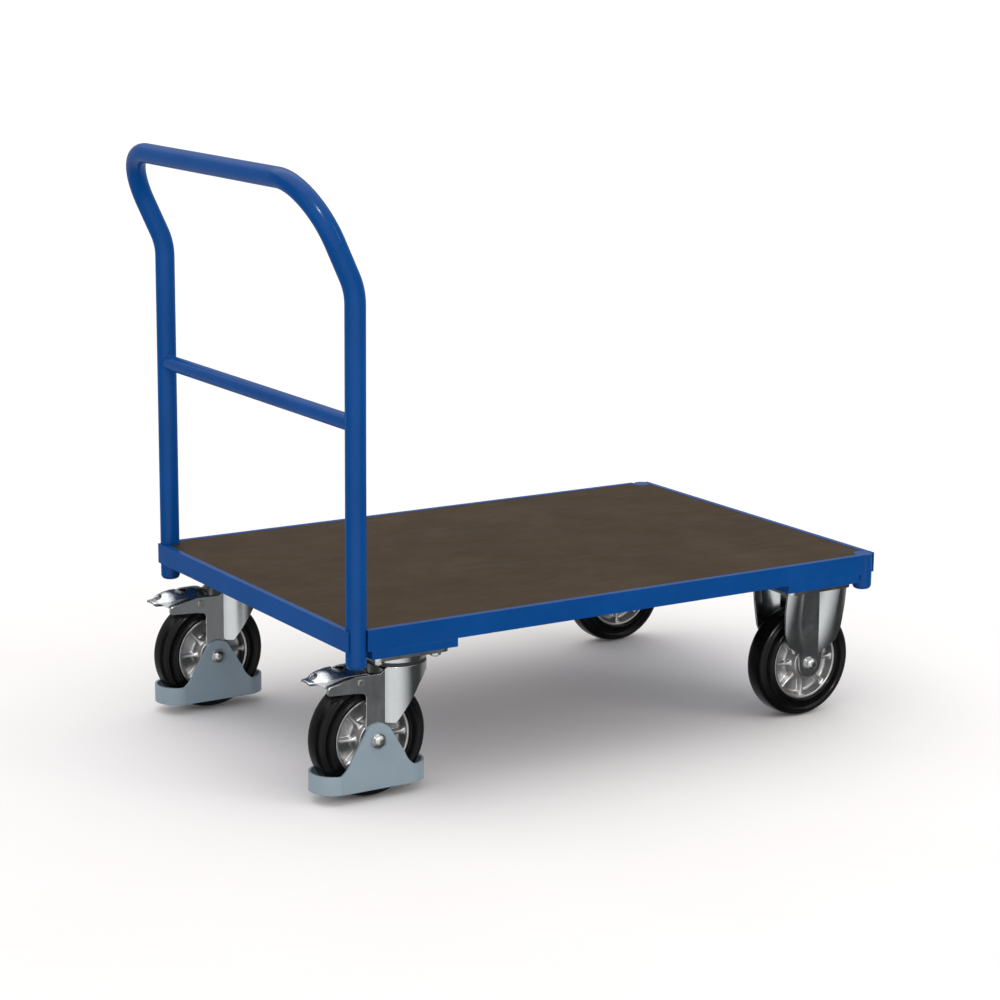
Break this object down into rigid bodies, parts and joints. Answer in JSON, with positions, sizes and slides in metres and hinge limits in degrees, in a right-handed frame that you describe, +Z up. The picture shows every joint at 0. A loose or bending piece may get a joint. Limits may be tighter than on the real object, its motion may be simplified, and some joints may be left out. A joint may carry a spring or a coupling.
{
  "type": "platform cart",
  "caption": "Steel-framed platform cart with a fixed push bar, braked swivel casters under the bar and fixed casters at the front.",
  "frame": {"origin": "on the floor, under the middle of the whole cart's bounding box", "axes": "+X from the push bar towards the front, +Y to the left when facing the front, +Z up"},
  "size_m": [1.1448, 0.715, 1.0148],
  "materials": {
    "blue_powder_coat": "semi-gloss powder coat with fine orange peel",
    "blue_plug": "moulded plugs in the frame colour",
    "grey_enamel": "satin enamel over pressed steel",
    "film_faced_board": "brown phenolic film with a fine anti-slip mesh",
    "zinc_plated_steel": "bright zinc plating on pressed steel",
    "dark_steel": "dull zinc-plated fasteners",
    "bearing_steel": "ground bearing steel",
    "cast_aluminium": "die-cast, slightly rough",
    "tyre_rubber": "solid elastic rubber",
    "black_plastic": "race seal ring"
  },
  "bodies": {
    "platform": {"caster_bearer_front": "blue_powder_coat", "caster_bearer_rear": "blue_powder_coat", "caster_mount_bolts": "dark_steel", "caster_mount_nuts": "dark_steel", "corner_tube_front_left": "blue_powder_coat", "corner_tube_front_right": "blue_powder_coat", "deck_board": "film_faced_board", "deck_brace": "blue_powder_coat", "deck_screws": "dark_steel", "end_rail_front": "blue_powder_coat", "end_rail_rear": "blue_powder_coat", "front_axle_bolts": "dark_steel", "front_axle_nuts": "dark_steel", "front_left_axle_sleeve": "zinc_plated_steel", "front_left_fixed_fork": "zinc_plated_steel", "front_right_axle_sleeve": "zinc_plated_steel", "front_right_fixed_fork": "zinc_plated_steel", "front_tube_caps": "blue_plug", "push_bar": "blue_powder_coat", "push_bar_crossbar": "blue_powder_coat", "rear_kingpin_nuts": "dark_steel", "rear_kingpins": "dark_steel", "rear_left_swivel_plate": "zinc_plated_steel", "rear_right_swivel_plate": "zinc_plated_steel", "side_rail_left": "blue_powder_coat", "side_rail_right": "blue_powder_coat", "tube_foot_plugs": "blue_plug"},
    "swivel_right": {"rear_right_axle_bolt": "dark_steel", "rear_right_axle_nut": "dark_steel", "rear_right_axle_sleeve": "zinc_plated_steel", "rear_right_brake_rivets": "dark_steel", "rear_right_foot_guard": "grey_enamel", "rear_right_race_balls": "bearing_steel", "rear_right_race_seal": "black_plastic", "rear_right_swivel_fork": "zinc_plated_steel"},
    "brake_right": {"rear_right_brake_pedal": "zinc_plated_steel", "rear_right_brake_shoe": "dark_steel"},
    "wheel_rear_right": {"rear_right_tyre": "tyre_rubber", "rear_right_wheel_rim": "cast_aluminium", "rear_right_wheel_bearings": "bearing_steel"},
    "wheel_front_right": {"front_right_tyre": "tyre_rubber", "front_right_wheel_rim": "cast_aluminium", "front_right_wheel_bearings": "bearing_steel"},
    "swivel_left": {"rear_left_axle_bolt": "dark_steel", "rear_left_axle_nut": "dark_steel", "rear_left_axle_sleeve": "zinc_plated_steel", "rear_left_brake_rivets": "dark_steel", "rear_left_foot_guard": "grey_enamel", "rear_left_race_balls": "bearing_steel", "rear_left_race_seal": "black_plastic", "rear_left_swivel_fork": "zinc_plated_steel"},
    "brake_left": {"rear_left_brake_pedal": "zinc_plated_steel", "rear_left_brake_shoe": "dark_steel"},
    "wheel_rear_left": {"rear_left_tyre": "tyre_rubber", "rear_left_wheel_rim": "cast_aluminium", "rear_left_wheel_bearings": "bearing_steel"},
    "wheel_front_left": {"front_left_tyre": "tyre_rubber", "front_left_wheel_rim": "cast_aluminium", "front_left_wheel_bearings": "bearing_steel"}
  },
  "joints": [
    {"name": "swivel_turn_right", "type": "hinge", "parent": "platform", "child": "swivel_right", "pos_m": [-0.37856, -0.2895, 0.222], "axis": [0, 0, 1], "continuous": true},
    {"name": "wheel_spin_rear_right", "type": "hinge", "parent": "swivel_right", "child": "wheel_rear_right", "pos_m": [-0.43056, -0.2895, 0.1], "axis": [0, 1, 0], "continuous": true},
    {"name": "brake_press_right", "type": "hinge", "parent": "swivel_right", "child": "brake_right", "pos_m": [-0.45956, -0.2895, 0.199], "axis": [0, -1, 0], "range_deg": [0, 8]},
    {"name": "wheel_spin_front_right", "type": "hinge", "parent": "platform", "child": "wheel_front_right", "pos_m": [0.45344, -0.2895, 0.1], "axis": [0, 1, 0], "continuous": true},
    {"name": "swivel_turn_left", "type": "hinge", "parent": "platform", "child": "swivel_left", "pos_m": [-0.37856, 0.2895, 0.222], "axis": [0, 0, 1], "continuous": true},
    {"name": "wheel_spin_rear_left", "type": "hinge", "parent": "swivel_left", "child": "wheel_rear_left", "pos_m": [-0.43056, 0.2895, 0.1], "axis": [0, 1, 0], "continuous": true},
    {"name": "brake_press_left", "type": "hinge", "parent": "swivel_left", "child": "brake_left", "pos_m": [-0.45956, 0.2895, 0.199], "axis": [0, -1, 0], "range_deg": [0, 8]},
    {"name": "wheel_spin_front_left", "type": "hinge", "parent": "platform", "child": "wheel_front_left", "pos_m": [0.45344, 0.2895, 0.1], "axis": [0, 1, 0], "continuous": true}
  ]
}
